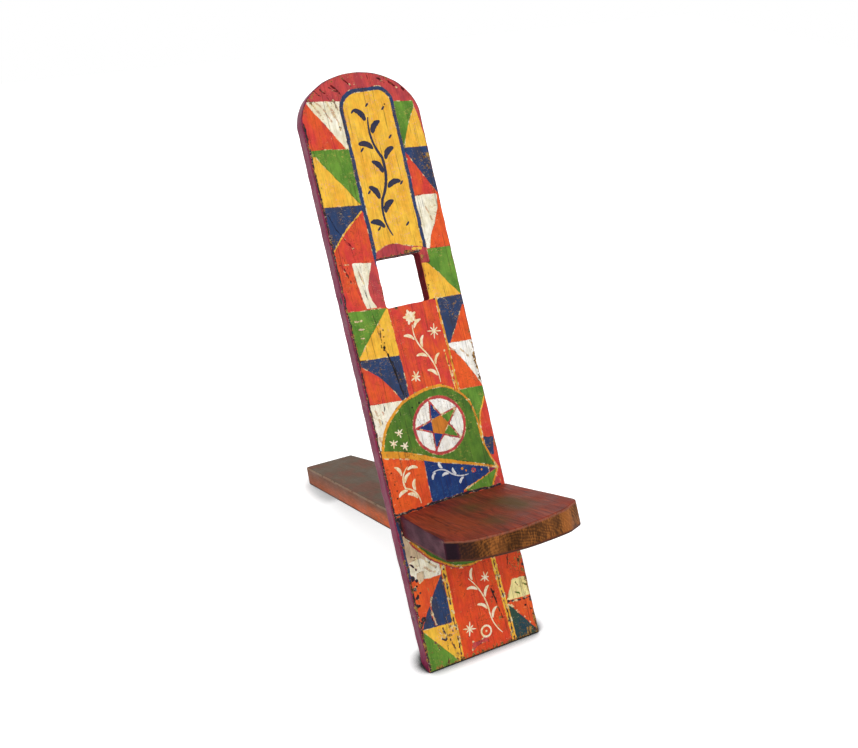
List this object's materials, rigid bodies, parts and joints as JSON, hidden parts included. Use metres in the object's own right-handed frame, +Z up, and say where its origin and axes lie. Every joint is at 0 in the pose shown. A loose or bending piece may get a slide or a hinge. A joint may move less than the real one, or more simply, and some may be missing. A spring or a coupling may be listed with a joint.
{
  "type": "two-plank birthing chair",
  "caption": "Low two-plank chair: a tall leaning painted backboard with a hand hole, and a seat plank whose tail passes through it and props it from behind.",
  "frame": {"origin": "on the floor, at the middle of the chair's footprint", "axes": "+Z up; the sitter faces -Y; the backboard leans back towards +Y; +X is to the right when the chair is seen from the front"},
  "size_m": [0.308, 0.9603, 1.1376],
  "materials": {
    "painted_board": "hand-brushed gloss paint on hewn wood, chipped and worn at the edges",
    "stained_plank": "dark red-brown stain and wax, rubbed through to golden end grain"
  },
  "bodies": {
    "board": {"backboard": "painted_board"},
    "plank": {"seat_plank": "stained_plank"}
  },
  "joints": [
    {"name": "plank_slide", "type": "slide", "parent": "board", "child": "plank", "axis": [0, -0.9379, 0.3469], "range_m": [0, 0.735]}
  ]
}
